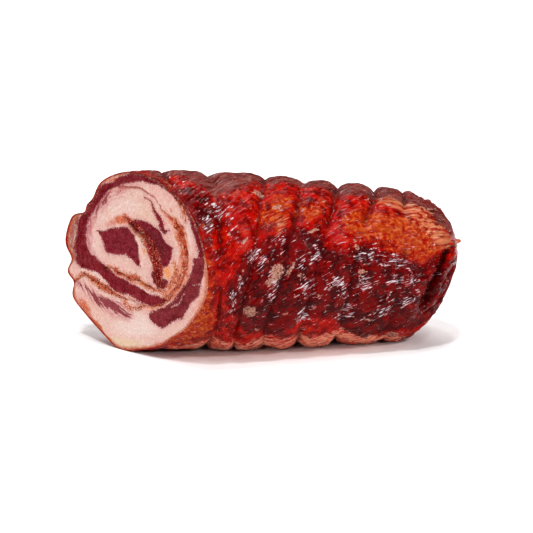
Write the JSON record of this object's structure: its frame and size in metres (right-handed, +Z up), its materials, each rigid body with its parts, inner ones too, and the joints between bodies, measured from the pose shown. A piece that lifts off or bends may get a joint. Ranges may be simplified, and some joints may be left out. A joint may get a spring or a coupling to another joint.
{
  "type": "rolled smoked pork belly, cut at one end",
  "caption": "Tied roll of smoked, air-dried pork belly in a glossy casing, lying on its side; the slanting cut shows fat and lean wound in a spiral, and the other end is gathered into pleats.",
  "frame": {"origin": "middle of the roll's box in plan, on the surface that it lies on", "axes": "+X along the roll from the cut end to the gathered end, +Z up, +Y away from the side that is seen first"},
  "size_m": [0.2144, 0.0978, 0.0986],
  "materials": {
    "casing_and_fat": "glossy thin casing over smoked fat, red to dark maroon; creamy pink fat at the cut",
    "lean_meat": "moist cut lean meat, purplish maroon with fine grain"
  },
  "bodies": {
    "root": {"belly_fat": "casing_and_fat", "lean_layer": "lean_meat", "lean_heart_left": "lean_meat", "lean_heart_right": "lean_meat"}
  },
  "joints": []
}
